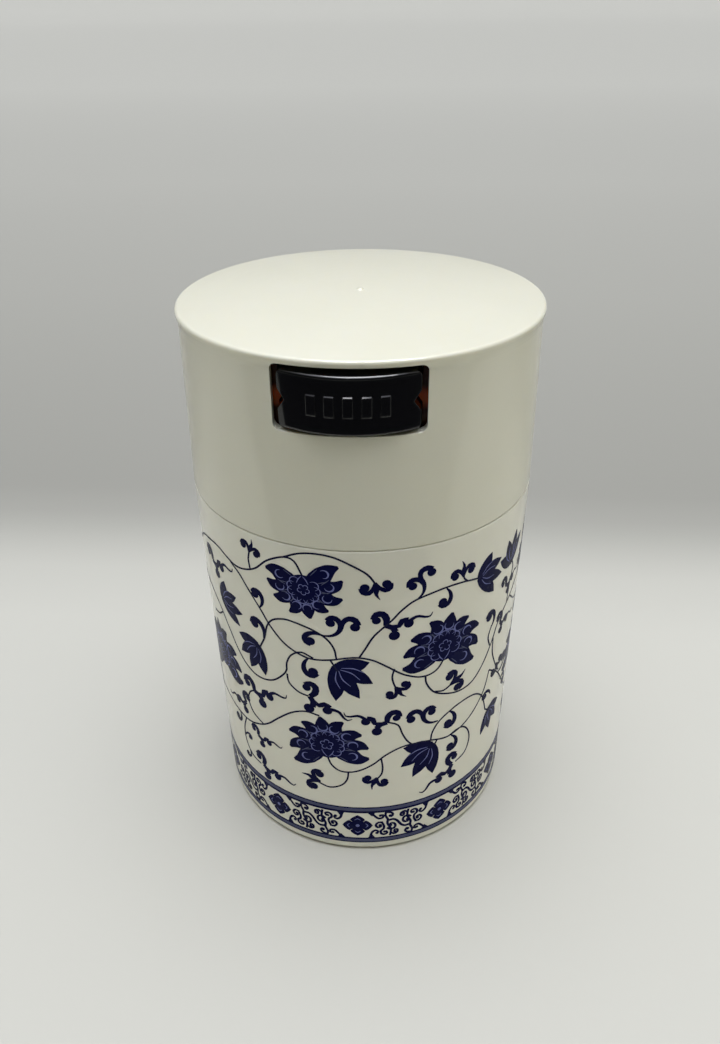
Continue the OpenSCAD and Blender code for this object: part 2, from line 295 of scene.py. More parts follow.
WIRE_STEPS, WIRE_SIDES = 40, 12      # rings of the mesh in one turn, and corners of each ring
steel = spring_steel()


def coil_height(turn, turns, length, wire):
    """Height of the wire's middle after so many turns of a spring with closed, flat ends."""
    end_rise = 2.1 * wire
    if turn < 1:
        return wire + end_rise * turn
    if turn > turns - 1:
        return length - wire - end_rise * (turns - turn)
    return wire + end_rise + (length - 2 * wire - 2 * end_rise) * (turn - 1) / (turns - 2)


def coiled_wire(turns, length, coil_r, wire):
    """Vertices and faces of a round wire of radius wire, which coils upwards from z = 0."""
    rings = turns * WIRE_STEPS
    vertices = []
    for i in range(rings + 1):
        a = 2 * math.pi * i / WIRE_STEPS
        height = coil_height(i / WIRE_STEPS, turns, length, wire)
        for k in range(WIRE_SIDES):
            b = 2 * math.pi * k / WIRE_SIDES
            r = coil_r + wire * math.cos(b)
            vertices.append(Vector((r * math.cos(a), r * math.sin(a), height + wire * math.sin(b))))
    faces = [list(range(WIRE_SIDES)), [rings * WIRE_SIDES + k for k in reversed(range(WIRE_SIDES))]]
    for i, k in product(range(rings), range(WIRE_SIDES)):
        below, above = i * WIRE_SIDES, (i + 1) * WIRE_SIDES
        n = (k + 1) % WIRE_SIDES
        faces.append([below + k, above + k, above + n, below + n])
    return vertices, faces


def spring(node, axis, wire, turns):
    """A wire spring in the place of a CAD node, which stands on the box's low end along the axis."""
    low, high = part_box(node)
    length = (high - low)[axis]
    coil_r = (high - low)[(axis + 1) % 3] / 2 - wire
    start, anchor = (low + high) / 2, (low + high) / 2
    start[axis], anchor[axis] = low[axis], high[axis]
    direction = Vector([float(i == axis) for i in range(3)])
    turned = direction.to_track_quat("Z", "Y").to_matrix()
    points, faces = coiled_wire(turns, length, coil_r, wire)
    mesh = new_mesh(node + "_wire", [start + turned @ point for point in points], faces, [steel])
    # the wire's two cut ends stay flat
    mesh.polygons.foreach_set("use_smooth", [len(face) == 4 for face in faces])
    piece = new_object(node + "_wire", mesh)
    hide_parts(node)
    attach(piece, "cap")
    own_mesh(piece)


for side in ("left", "right"):
    spring("button_spring_" + side, 1, 0.25 * MM, 9)
spring("valve_spring", 2, 0.35 * MM, 5)


# ---------------------------------------------------------------- the print: drawing tools

FOOT_HEIGHT = 2                         # mm above which the cup's wall is straight
STEP = 0.7                              # mm between the points of a smooth line
DARK, VINE, MID, LIGHT = range(4)       # tones of ink, of which later ones print over earlier ones


def widest(vertices):
    """(height, radius) in mm of the vertex that is furthest from the axis."""
    far = max(vertices, key=lambda v: v.co.xy.length)
    return far.co.z / MM, far.co.xy.length / MM


cup_vertices = nodes["cup"].data.vertices
foot_z, foot_r = widest([v for v in cup_vertices if v.co.z < FOOT_HEIGHT * MM])
shoulder_z, shoulder_r = widest(cup_vertices)
wall_slope = (shoulder_r - foot_r) / (shoulder_z - foot_z)
DEGREE = math.radians((foot_r + shoulder_r) / 2)     # mm of sheet for one degree round the cup


def at(angle, height):
    """Point of the sheet at an angle from the front, in degrees, and a height in mm."""
    return Vector((angle * DEGREE, height))


def smooth(points, step=STEP):
    """Points about a step apart on the smooth curve through the given ones."""
    points = [Vector(p) for p in points]
    ends = [2 * points[0] - points[1], *points, 2 * points[-1] - points[-2]]
    curve = []
    for a, b, c, d in zip(ends, ends[1:], ends[2:], ends[3:]):
        count = max(2, round((c - b).length / step))
        for t in (i / count for i in range(count)):
            cubic = (3 * b - a - 3 * c + d) * t ** 3
            curve.append((2 * b + (c - a) * t + (2 * a - 5 * b + 4 * c - d) * t * t + cubic) / 2)
    return curve + [points[-1]]


def width_at(widths, share):
    """Width at a share of a line's length, from widths given at even steps along it."""
    place = share * (len(widths) - 1)
    i = min(int(place), len(widths) - 2)
    return widths[i] + (widths[i + 1] - widths[i]) * (place - i)


def area(polygon):
    """Area of a polygon, which is negative if its corners run clockwise."""
    return sum(a.cross(b) for a, b in zip(polygon, polygon[1:] + polygon[:1])) / 2


def stroke(tone, points, widths, step=STEP):
    """A smooth line whose width changes along it, as a chain of quads. Where the line bends so
    tightly that a quad would cross itself, the quad is two triangles."""
    line = smooth(points, step)
    last = len(line) - 1
    sides = []
    for i, p in enumerate(line):
        along = (line[min(i + 1, last)] - line[max(i - 1, 0)]).normalized()
        across = Vector((-along.y, along.x)) * width_at(widths, i / last) / 2
        sides.append((p + across, p - across))
    shapes = []
    for (a, b), (d, c) in zip(sides, sides[1:]):
        halves = [[a, b, c], [a, c, d]]
        simple = min(area(half) for half in halves) > 0
        shapes += [(tone, polygon) for polygon in ([[a, b, c, d]] if simple else halves)]
    return shapes


def round_points(centre, radius, turns):
    """Points at a radius from a centre, at those turns in radians."""
    return [Vector(centre) + radius * Vector((math.cos(t), math.sin(t))) for t in turns]


def disc(tone, centre, radius, sides=14):
    """A round dot."""
    turns = [2 * math.pi * i / sides for i in range(sides)]
    return [(tone, round_points(centre, radius, turns))]


def bow(tone, centre, radius, opening, span, width):
    """A crescent: an arc about the centre, with its gap towards the opening, thin at its tips."""
    first, steps = opening + (360 - span) / 2, 6
    turns = [math.radians(first + span * i / steps) for i in range(steps + 1)]
    return stroke(tone, round_points(centre, radius, turns), [0.1, width, 0.1], 0.5)


def placed(shapes, origin, angle=0, scale=1, flip=False):
    """The shapes mirrored left to right if asked, then scaled, turned and moved."""
    turn = Matrix.Rotation(math.radians(angle), 2)
    mirror = Matrix(((-1, 0), (0, 1))) if flip else Matrix.Identity(2)
    change = turn @ mirror * scale
    return [(tone, [Vector(origin) + change @ p for p in polygon]) for tone, polygon in shapes]


# ---------------------------------------------------------------- the print: motifs

def comma():
    """A stem that grows upwards, swells, and curls over to the right."""
    line = [(0, 0), (-1.1, 1.6), (-1.4, 3.5), (-0.6, 5.1), (0.9, 5.4), (1.9, 4.4)]
    return stroke(DARK, line, [0.4, 1.0, 1.4, 1.5, 1.3]) + disc(DARK, (0.9, 4.1), 1.25)


def twin():
    """A stem that grows to the right and up, and parts into two curls."""
    stem = [(0, 0), (1.6, 0.1), (3, 0.8), (4, 2.1), (4.3, 3.6)]
    left = [(4.2, 2.4), (4, 4.2), (3.1, 5.3), (2, 5.3), (1.2, 4.4)]
    right = [(4.3, 3), (4.9, 4.6), (6.1, 5.5), (7.5, 5), (8.1, 3.6)]
    return (
        stroke(DARK, stem, [0.4, 0.7, 1.1, 1.5])
        + stroke(DARK, left, [1, 1.3, 1.5, 1.4])
        + disc(DARK, (1.9, 3.9), 1.1)
        + stroke(DARK, right, [1, 1.3, 1.6, 1.5])
        + disc(DARK, (7.4, 3.1), 1.15)
    )


def trident():
    """Two curls and a spike between them, from a stem that comes from below."""
    curl = [(0, -0.6), (0.7, 1), (1.9, 2.1), (3.2, 1.6), (3.4, 0.4)]
    half = stroke(DARK, curl, [0.7, 1.1, 1.5, 1.4]) + disc(DARK, (2.6, 0.4), 1.15)
    spike = [(0, 0), (0.1, 1.6), (0.3, 3), (-0.3, 4.6)]
    return (
        half
        + placed(half, (0, 0), flip=True)
        + stroke(DARK, spike, [1.4, 1.5, 0.8, 0.15])
    )


def wavy_tail():
    """Three lobes round a stem's end, and a tail that tapers off in waves to the right."""
    upper = [(0, 0), (1.3, 1.4), (1.5, 3.1), (0.3, 4), (-1.1, 3.3)]
    lower = [(0, 0), (0.7, -1.6), (0.5, -3.1)]
    middle = [(0.6, -1), (2.1, -2.3), (3.4, -1.7), (4.7, -2.6)]
    tail = [(4, -3.1), (5.8, -3.1), (7, -3.7), (7.8, -5.1), (8.8, -6), (9.9, -5.5)]
    return (
        stroke(DARK, upper, [1.2, 1.7, 1.7, 1.4])
        + disc(DARK, (-0.7, 2.6), 1.05)
        + stroke(DARK, lower, [1.4, 1.4, 1.6])
        + disc(DARK, (-0.4, -3.8), 1.35)
        + stroke(DARK, middle, [1, 1.1, 1.5, 1.6])
        + disc(DARK, (4.1, -3.5), 1.2)
        + stroke(DARK, tail, [1.2, 0.9, 0.7, 0.5, 0.15])
    )


def petal(length, width, hook):
    """A broad petal that grows upwards, with its narrow tip hooked to the right."""
    spine = [(0, 0), (0, 0.5 * length), (0.05 * hook, 0.8 * length), (hook, length)]
    return stroke(DARK, spine, [width * w for w in (0.4, 0.8, 1, 1, 0.72, 0.15)])


def slim_petal(length, width, hook):
    """A petal of a bud: widest half-way up, with a long point."""
    spine = [(0, 0), (0, 0.5 * length), (hook, length)]
    return stroke(DARK, spine, [width * w for w in (0.3, 0.8, 1, 0.95, 0.65, 0.03)])


def bud():
    """A half-open flower that grows upwards: four petals, with light lines on them."""
    shapes = disc(DARK, (0, 0.8), 1.1)
    for angle, length, hook in ((-44, 11.8, 0.6), (48, 8.8, -0.8), (-18, 12.2, -0.3), (15, 11, 0.4)):
        shapes += placed(slim_petal(length, 4.6, hook), (0, 0), angle)
    for angle in (-34, -12, 6, 26):
        bend = 0.9 if angle > 0 else -0.9
        line = [(0, 1.8), (-bend, 4.6), (-0.5 * bend, 7.6)]
        shapes += placed(stroke(LIGHT, line, [0.15, 0.35, 0.15]), (0, 0), angle)
    return shapes


def lotus():
    """An open lotus above its stem: nine petals round a rosette, with light crescents."""
    heart = Vector((0.2, 5))
    shapes = disc(DARK, heart, 5, 24)
    details = []
    for angle, length, hook in (
        (-136, 13.4, -1), (-105, 11.8, 1.5), (-73, 11, 1.5), (-40, 9.4, 1.2), (-8, 10, 0.2),
        (21, 10, -1.2), (57, 10.4, -1.5), (86, 11.2, -1.5), (118, 12.2, 1.5),
    ):
        width = 4.6 if abs(angle) < 110 else 5.6
        one = petal(length, width, hook)
        for side in (-1, 1):
            rim = [(0.36 * side * width, 0.4 * length), (0.4 * side * width, 0.62 * length)]
            one += stroke(MID, rim, [0.15, 0.3, 0.15])
        one += bow(LIGHT, (0, 0.64 * length), 1.35, 90 + 1.1 * angle, 230, 0.55)
        shapes += placed(one, heart, angle)
        details += placed(bow(LIGHT, (0, 3.4), 1.5, -90, 200, 0.3), heart, angle + 16)
    for angle in (0, 72, 144, 216, 288):
        details += placed(bow(LIGHT, (0, 1.1), 0.7, -90, 250, 0.25), heart, angle)
    for side in (-1, 1):
        throat = [(side * 1.7, 3), (side * 1.1, 1.6), (side * 0.2, 0.5)]
        details += stroke(LIGHT, throat, [0.15, 0.3, 0.15])
    return shapes + details


# ---------------------------------------------------------------- the print: lotus scroll

PANEL_LEFT, PANEL_REPEATS = -72, 2      # angle of a panel's left side, and panels round the cup
PRINT_GAP = 0.4                         # mm between the panel and the border or the cup's rim
VINE_WIDTH = 0.5

# Each row is a vine: points as (angle in degrees, height in mm), through which it runs.
VINES = (
    # from the left edge to the hanging lotus, and the loop over it
    ((-72, 89), (-66, 92.7), (-59, 94.5), (-51, 95.2), (-42, 93.3), (-37, 93.7), (-32, 95.6),
     (-27, 99.3), (-21, 101.7), (-17.5, 101.2), (-15.2, 97.7)),
    ((-21, 101.7), (-16, 103.6), (-10.5, 104.3), (-5, 103.7), (0, 101.8), (4.7, 99.3), (7.2, 96.4)),
    # down through the middle to the right-hand lotus
    ((-44, 93.5), (-40, 91.4), (-37, 88.7), (-32, 83.7), (-28, 79), (-23.5, 75.2), (-19, 73.1),
     (-14, 72), (-8, 72.5), (0, 73.9), (6, 73.1), (11, 70.6), (16.5, 67.3), (23, 65.2),
     (28, 66), (30.7, 68.9)),
    ((-33.3, 70.6), (-31, 74.3), (-29.5, 78.5), (-27, 81.3), (-22.5, 82.8), (-18, 82.6),
     (-12.5, 81.4), (-8.3, 79.3), (-6, 76.4), (-5.3, 73.2)),
    ((-72, 77.5), (-66, 77.4), (-61, 76.3), (-55.6, 73.9), (-50.5, 69.3), (-45.5, 63.9), (-41, 60.6),
     (-35.5, 59.2), (-29, 60.6), (-23.5, 65.2), (-22.8, 68.5), (-20.8, 71.7), (-17, 73.5),
     (-13, 72.3)),
    ((-23, 64.8), (-22.4, 61.8), (-19, 59.6), (-15.5, 59)),
    ((-54, 73), (-58, 70.5), (-63, 69.3)),
    # right-hand side
    ((2, 73.9), (4, 76.8), (7, 81), (12.3, 85.2), (15.5, 88), (20, 90.4), (28.5, 91.8),
     (36, 91.7), (43.6, 90.5)),
    ((24.2, 65.2), (24.8, 62.3), (28, 58.5), (33.5, 56.2), (39.4, 55.2), (45, 56.2), (50.3, 60.3),
     (54.6, 66), (57, 70), (61, 73), (65.5, 75.2)),
    ((55, 66), (55.5, 61), (57.5, 57), (59.5, 54)),
    # lower vine, from the left edge to the lower lotus
    ((-72, 38.5), (-65, 39.8), (-58, 39.5), (-51.8, 38.8), (-44.2, 38.7), (-37.7, 40.6), (-33, 43.2),
     (-28, 47.3), (-22.5, 51.2), (-17, 53.2), (-12, 52.7)),
    ((-36, 41.5), (-41, 43.6), (-43, 47.5), (-41.5, 51), (-39, 52.5)),
    # from the lower lotus to the right
    ((-9.6, 37.5), (-8.3, 34.8), (-5, 32.8), (0.3, 33.1), (6, 35.6), (11, 39.1), (16.5, 41.3),
     (22, 41.6), (27.5, 41), (34, 39.8), (40.5, 40.8), (46, 43.3), (50.3, 46.8), (52.7, 49.8),
     (54.5, 55)),
    ((11.2, 51.4), (15, 49.8), (16.6, 46.4), (18.3, 43.5), (20.1, 41.7)),
    ((27.5, 41), (28, 43.9), (30.7, 47.3), (36.2, 49.8), (41.6, 50.7), (46.5, 50.2), (50.3, 48.1),
     (52.5, 45.2), (54.6, 40.2)),
    ((29, 38.5), (30.3, 40.6)),
    ((35, 39.8), (39.4, 40.8), (42.7, 39.8), (45.1, 36.8), (45.7, 33.1), (43.8, 29.3), (39.4, 27.7)),
    ((-2.4, 32.7), (-2.9, 29.8), (-5, 27.3), (-9.4, 25.8), (-13.8, 27)),
    ((-46.3, 38.4), (-48.5, 33.5), (-48.3, 28.5), (-45, 24.6), (-40, 23.6)),
    # short stems
    ((-34.3, 94.8), (-34.6, 97.6), (-33.8, 100)),
    ((38, 91.6), (36.8, 92.6), (36.3, 93.8)),
    ((13.4, 69.6), (12.7, 67), (13.3, 64.5), (14.2, 62.8)),
    ((-7.4, 72.6), (-6.4, 71.2), (-5, 69)),
    ((28, 58.7), (31.5, 58), (34.5, 59)),
    ((9.3, 37.7), (9.8, 34.5), (9.4, 31.8), (7.8, 30)),
    ((53, 64.5), (51.5, 68), (53, 71.5)),
    # behind: links to the next repeat of the pattern
    ((65.5, 75.2), (74, 79), (84, 84), (95, 88), (108, 89)),
    ((65.5, 75.2), (75, 70), (88, 70), (100, 76), (108, 77.5)),
    ((54.5, 55), (62, 50), (72, 40), (84, 33), (98, 33), (108, 38.5)),
    ((84, 33), (84, 38), (82, 47)),
    ((98, 33), (101, 38), (99, 44)),
    ((63, 73.8), (64, 80), (65.5, 85), (63.3, 88)),
    ((54.6, 40.2), (57, 38.6)),
)

# (motif, angle in degrees, height in mm, turn in degrees, scale, flipped)
SPRIGS = (
    ("lotus", -15.2, 97.7, 180, 0.86, True),
    ("lotus", 30.7, 68.5, 0, 1, False),
    ("lotus", -9.6, 37.5, 0, 1, True),
    ("lotus", -60, 51.5, 0, 1, True),
    ("lotus", 82, 47, 0, 1, False),
    ("bud", -34.2, 70.8, 142, 0.84, True),
    ("bud", -53.4, 78.1, -74, 0.8, False),
    ("bud", -6, 70.8, -133, 1, False),
    ("bud", 43, 90.4, -90, 0.84, False),
    ("bud", 62.1, 87, 2, 0.8, False),
    ("bud", 28.5, 39.4, 135, 1, True),
    ("bud", 57.3, 39.2, 206, 0.76, False),
    ("bud", 84, 84, 20, 1, False),
    ("bud", 98, 33, 170, 1, False),
    ("comma", -31.8, 83.6, 5, 0.95, True),
    ("comma", -31.4, 74, 25, 1.05, True),
    ("comma", 30.2, 91.6, 180, 0.95, False),
    ("comma", -9.2, 80.2, 112, 1, True),
    ("comma", -14.6, 72.2, 180, 1.08, True),
    ("comma", 34.6, 49.4, 190, 1.05, False),
    ("comma", 36.3, 39.6, 190, 1, False),
    ("comma", -50.5, 38.8, 160, 0.8, False),
    ("comma", -48.4, 30.5, -60, 0.6, False),
    ("comma", -46.5, 25.5, 160, 0.6, False),
    ("comma", 53, 71, 10, 1, True),
    ("comma", 57.5, 44.5, 60, 0.8, True),
    ("comma", 74, 79, 0, 1, True),
    ("comma", 78, 70, 180, 1, False),
    ("comma", 66, 45, 240, 1, False),
    ("twin", 20.2, 90.4, 42, 1, False),
    ("twin", -9.5, 80.2, 0, 1.08, False),
    ("twin", 30, 47.5, 0, 1.08, True),
    ("twin", 62, 50, -20, 1, False),
    ("trident", -33.8, 100.2, -20, 0.8, False),
    ("trident", 7.2, 96.2, 190, 1, False),
    ("trident", 36.3, 93.9, 5, 0.92, False),
    ("trident", 14.2, 62.9, -145, 0.92, False),
    ("trident", 35, 59.3, -60, 1.1, False),
    ("trident", -13.8, 27.4, 70, 1.1, False),
    ("trident", 7.6, 30, 160, 0.95, False),
    ("trident", 60, 54, -150, 0.9, False),
    ("trident", 100, 76, -100, 0.9, False),
    ("wavy_tail", 10.4, 83.8, 38, 1.05, False),
    ("wavy_tail", -15, 59, 0, 1.12, False),
    ("wavy_tail", -39, 52.6, 50, 1.1, False),
    ("wavy_tail", 11.2, 51.2, -48, 1.05, True),
    ("wavy_tail", -45, 45.3, -15, 0.9, True),
    ("wavy_tail", -39.8, 35.3, 35, 0.82, False),
    ("wavy_tail", -38.5, 24, 25, 1.05, False),
    ("wavy_tail", 37.7, 27.4, 0, 1.08, True),
    ("wavy_tail", -57.5, 88.3, 45, 1, False),
    ("wavy_tail", 59, 69.5, 20, 0.85, False),
    ("wavy_tail", 60.5, 81, 40, 0.8, False),
    ("wavy_tail", 99, 44, 20, 0.95, False),
    ("wavy_tail", 78, 27, 20, 0.9, False),
)


def lotus_panel():
    """One repeat of the lotus scroll, which goes half-way round the cup."""
    motifs = {
        "lotus": lotus(), "bud": bud(), "comma": comma(), "twin": twin(),
        "trident": trident(), "wavy_tail": wavy_tail(),
    }
    shapes = []
    for vine in VINES:
        shapes += stroke(VINE, [at(*p) for p in vine], [VINE_WIDTH, VINE_WIDTH], 1)
    for motif, angle, height, turn, scale, flip in SPRIGS:
        shapes += placed(motifs[motif], at(angle, height), turn, scale, flip)
    return shapes


# ---------------------------------------------------------------- the print: border

BORDER_REPEATS = 11
BORDER_LOW, BORDER_HIGH = 3.2, 18.4
FIELD_LOW, FIELD_HIGH = 5.3, 16         # between the bars


def strip(tone, width, low, high):
    """A level bar across one repeat of the border."""
    half = width / 2
    corners = ((-half, low), (half, low), (half, high), (-half, high))
    return [(tone, [Vector(corner) for corner in corners])]


def quatrefoil():
    """Four broad pointed lobes round a light middle."""
    lobe = stroke(DARK, [(0, 0.6), (0, 2.4), (0, 4.4)], [2, 2.8, 4.4, 3.2, 0.1])
    vein = stroke(LIGHT, [(-0.9, 2.3), (0, 3), (0.9, 2.3)], [0.1, 0.35, 0.1])
    shapes = disc(DARK, (0, 0), 1.8)
    for i in range(4):
        shapes += placed(lobe + vein, (0, 0), 90 * i)
    return shapes + disc(LIGHT, (0, 0), 0.6, 10)


def border_scroll():
    """The scroll between two quatrefoils, the same when it is turned upside down."""
    half = []
    for line in (
        # the curl in the upper corner, and the small one beside it
        ((-8.2, 5.4), (-7, 3.7), (-6, 2.8), (-4.9, 3.1), (-4.8, 4.1), (-5.6, 4.1)),
        ((-3.8, 5.2), (-2.5, 4.9), (-1.9, 4), (-2.4, 3.2), (-3, 3.6)),
        # the stem, and the spiral and the ring that grow from it
        ((-3.9, 5.4), (-4.1, 3.8), (-3.4, 2.2), (-3.5, 0.4), (-2.8, -1.2), (-2.4, -2.6), (-2.7, -5)),
        ((-3.6, -1.5), (-2.8, -2.2), (-1.5, -2), (-1.1, -0.9), (-1.6, 0.1), (-2.6, 0.2), (-2.7, -0.6)),
        ((-2.6, -3.6), (-1.6, -4.5), (-0.5, -4), (-0.5, -2.9), (-1.3, -2.8), (-1.4, -3.6)),
        # the two rings beside the stem
        ((-4.8, 1), (-6.2, 1.1), (-6.9, 0), (-6.3, -1), (-5.4, -0.7), (-5.6, 0.2)),
        ((-5, 0.8), (-4.5, -0.6), (-4.6, -1.8), (-5.4, -2.6), (-5.3, -3.8), (-4.4, -4.3), (-3.5, -3.7),
         (-4, -2.8)),
        # the curl in the lower corner
        ((-8.6, -5), (-8, -3), (-7, -2.2), (-6.2, -2.8), (-6.6, -3.7)),
    ):
        half += stroke(DARK, line, [0.7, 0.8, 0.7])
    for ball in ((-5.6, 4), (-2.7, 3.6), (-2.5, -0.6), (-1.3, -3.6), (-5.7, -0.1), (-4.3, -3.1),
                 (-6.6, -3.4)):
        half += disc(DARK, ball, 0.5, 10)
    for y in (1, -1):
        corner = [(-9.4, 5.5 * y), (-7, 5.5 * y), (-8, 3.9 * y)]
        half.append((DARK, [Vector(p) for p in corner]))
    line = [(-3.4, 1.6), (-1.9, 1.9), (-0.7, 1.1), (0.7, -1.1), (1.9, -1.9), (3.4, -1.6)]
    return half + placed(half, (0, 0), 180) + stroke(DARK, line, [0.8, 0.8])


def border(width):
    """One repeat of the border, with a quatrefoil in the middle and half a scroll on each side."""
    shapes = []
    for tone, low, high in (
        (DARK, BORDER_LOW, 3.6), (MID, 3.6, 4.8), (DARK, 4.8, FIELD_LOW),
        (DARK, FIELD_HIGH, 16.8), (MID, 16.8, 18), (DARK, 18, BORDER_HIGH),
    ):
        shapes += strip(tone, width, low, high)
    middle = (FIELD_LOW + FIELD_HIGH) / 2
    shapes += placed(border_scroll(), (width / 2, middle))
    return shapes + placed(quatrefoil(), (0.4, middle))

# ---------------------------------------------------------------- the print: a film on the cup

INK_TOP = 0.03        # mm that the film stands out from the wall
INK_UNDER = -0.05     # mm that its hidden face lies under the wall, to stay clear of its facets
GRID = 1.2            # mm between the film's inner points, which keep it round
SAME = 0.002          # mm within which two points are one
SMALLEST = 0.0005     # mm2 below which a shape isn't printed


def divided(polygon):
    """The polygon with points along its long sides, so that they can follow the cup."""
    points = []
    for a, b in zip(polygon, polygon[1:] + polygon[:1]):
        count = max(1, math.ceil((b - a).length / GRID))
        points += [a.lerp(b, i / count) for i in range(count)]
    return points


def inner_points(left, width, low, high):
    """Points of the sheet in staggered rows, clear of its edges."""
    columns, rows = round(width / GRID), round((high - low) / GRID)
    points = []
    for row, column in product(range(1, rows), range(columns)):
        x = left + width * (column + 0.25 + 0.5 * (row % 2)) / columns
        points.append(Vector((x, low + (high - low) * row / rows)))
    return points


def inked_triangles(shapes, left, width, low, high):
    """Points and inked triangles (corners, tone) of the part of the sheet from left to left +
    width and from low to high. Shapes that cross its sides come in at the other side too."""
    corners = ((left, low), (left + width, low), (left + width, high), (left, high))
    polygons = [[Vector(p) for p in corners]]
    tones = [None]
    for tone, polygon in shapes:
        if abs(area(polygon)) < SMALLEST:
            continue
        polygon = divided(polygon if area(polygon) > 0 else polygon[::-1])
        first, last = min(p.x for p in polygon), max(p.x for p in polygon)
        for shift in (-width, 0, width):
            if last + shift > left and first + shift < left + width:
                polygons.append([p + Vector((shift, 0)) for p in polygon])
                tones.append(tone)
    points = [p for polygon in polygons for p in polygon]
    ends = [0]
    for polygon in polygons:
        ends.append(ends[-1] + len(polygon))
    faces = [list(range(a, b)) for a, b in zip(ends, ends[1:])]
    points += inner_points(left, width, low, high)
    points, _, triangles, _, _, sources = delaunay_2d_cdt(points, [], faces, 0, SAME, True)
    inked = []
    for triangle, source in zip(triangles, sources):
        found = [tones[s] for s in source if s > 0]
        if found and 0 in source:
            inked.append((triangle, max(found)))
    return points, inked


def wrapped(points, inked, left, width, repeats):
    """Places round the cup (turn in radians, height in mm) and the inked triangles between them,
    for all the repeats. Points on the sides of a repeat are shared with its neighbours."""
    numbers = {}
    places = []
    triangles = []
    for repeat, (corners, tone) in product(range(repeats), inked):
        triangle = []
        for i in corners:
            x, y = points[i]
            key = (repeat, i)
            for side in (0, 1):
                if abs(x - left - side * width) < SAME:
                    key = ((repeat + side) % repeats, "side", round(y, 2))
            if key not in numbers:
                numbers[key] = len(places)
                places.append((2 * math.pi * (x / width + repeat) / repeats, y))
            triangle.append(numbers[key])
        if len(set(triangle)) == 3:
            triangles.append((triangle, tone))
    return places, triangles


def closed(tops, under):
    """The faces of a film: its top, its underside, whose corners have the numbers of the top's
    raised by under, and the edges between them."""
    edges = {
        edge: tone
        for corners, tone in tops for edge in zip(corners, corners[1:] + corners[:1])
    }
    faces = tops + [([i + under for i in reversed(corners)], tone) for corners, tone in tops]
    for (a, b), tone in edges.items():
        if (b, a) not in edges:
            faces.append(([b, a, a + under, b + under], tone))
    return faces


def wall_point(turn, height, lift):
    """Point beside the cup's wall, in metres, at a turn in radians from the front."""
    r = foot_r + wall_slope * (height - foot_z) + lift
    return Vector((r * math.sin(turn), -r * math.cos(turn), height)) * MM


def wall_normal(point):
    """The way the cup's wall faces beside a point."""
    outward = point.xy.normalized()
    return Vector((*outward, -wall_slope)).normalized()


def shade_like_wall(mesh):
    """Shades the outer face of a film as if it were the wall, and its other faces flat."""
    normals = []
    for polygon in mesh.polygons:
        for i in polygon.vertices:
            outward = wall_normal(mesh.vertices[i].co)
            faces_out = polygon.normal.dot(outward) > 0.5
            normals.append(outward if faces_out else polygon.normal.copy())
    mesh.normals_split_custom_set(normals)


def film(name, shapes, left, repeats, low, high):
    """The shapes as a thin closed film of ink round the cup, one repeat after another."""
    width = 360 * DEGREE / repeats
    points, inked = inked_triangles(shapes, left, width, low, high)
    places, tops = wrapped(points, inked, left, width, repeats)
    faces = closed(tops, len(places))
    vertices = [wall_point(*place, lift) for lift in (INK_TOP, INK_UNDER) for place in places]
    mesh = new_mesh(name, vertices, [corners for corners, _ in faces], inks)
    mesh.polygons.foreach_set("material_index", [tone for _, tone in faces])
    mesh.validate()
    shade_like_wall(mesh)
    piece = new_object(name, mesh)
    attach(piece, "cup")


# in the order of the tones
inks = [
    ink("dark_ink", (0.002, 0.003, 0.036), (0.004, 0.006, 0.05)),
    ink("vine_ink", (0.01, 0.012, 0.04), (0.016, 0.018, 0.05)),
    ink("mid_ink", (0.075, 0.085, 0.15), (0.1, 0.11, 0.19)),
    ink("light_ink", (0.15, 0.17, 0.38), (0.2, 0.22, 0.46)),
]
panel_low, panel_high = BORDER_HIGH + PRINT_GAP, shoulder_z - PRINT_GAP
film("lotus_print", lotus_panel(), PANEL_LEFT * DEGREE, PANEL_REPEATS, panel_low, panel_high)
border_width = 360 * DEGREE / BORDER_REPEATS
film("border_print", border(border_width), -border_width / 2, BORDER_REPEATS, BORDER_LOW, BORDER_HIGH)


# ---------------------------------------------------------------- stage

WHITE, WARM = (1, 1, 1), (1, 0.96, 0.86)
PAPER_TINT = Vector((1, 0.985, 0.85))
PAPER_FRONT, PAPER_BACK = -0.5, 2.5      # y at the two ends of the paper's shades
# (y, lightness of the paper there): painted shade, darker in front and in a band behind the canister,
# lighter again further back
PAPER_PAINTED_SHADE = (
    (-0.45, 0.3), (-0.16, 0.54), (0.06, 0.54), (0.1, 0.49), (0.12, 0.42), (0.14, 0.34),
    (0.17, 0.3), (0.5, 0.37), (1, 0.44), (2.4, 0.52),
)
# (radius, height) of the floor, from the middle outwards
FLOOR_PROFILE = ((0.2, 0), (1, 0), (4, 0), (10, 0), (11, 0.1), (12, 0.4), (12.5, 1))
FLOOR_SIDES = 96
SKY_FALL = 12                            # the higher, the faster the sky dims away from overhead
canister_middle = Vector((0, 0, cad_box[1].z / 2))


def floor_paper():
    """Matt paper with painted shade: its tone changes with the distance behind the canister."""
    material = new_material("floor_paper", (0.6, 0.6, 0.58), 0.6)
    tree = material.node_tree
    # painted shade: the paper's lightness follows y, not the paper itself
    depth = ramp(tree, coordinate(tree, "Y"), PAPER_FRONT, PAPER_BACK)
    shades = add_node(tree, "ValToRGB", {"Fac": depth})
    stops = shades.color_ramp.elements
    stops.remove(stops[1])
    for y, shade in PAPER_PAINTED_SHADE:
        stop = stops.new((y - PAPER_FRONT) / (PAPER_BACK - PAPER_FRONT))
        stop.color = (*(shade * PAPER_TINT), 1)
    stops.remove(stops[0])
    feed(shader_of(material), {
        "Base Color": shades.outputs["Color"],
        "Specular IOR Level": 0.2,
    })
    bump(material, noise(tree, 2 * MM, 3), 0.02 * MM)
    return material


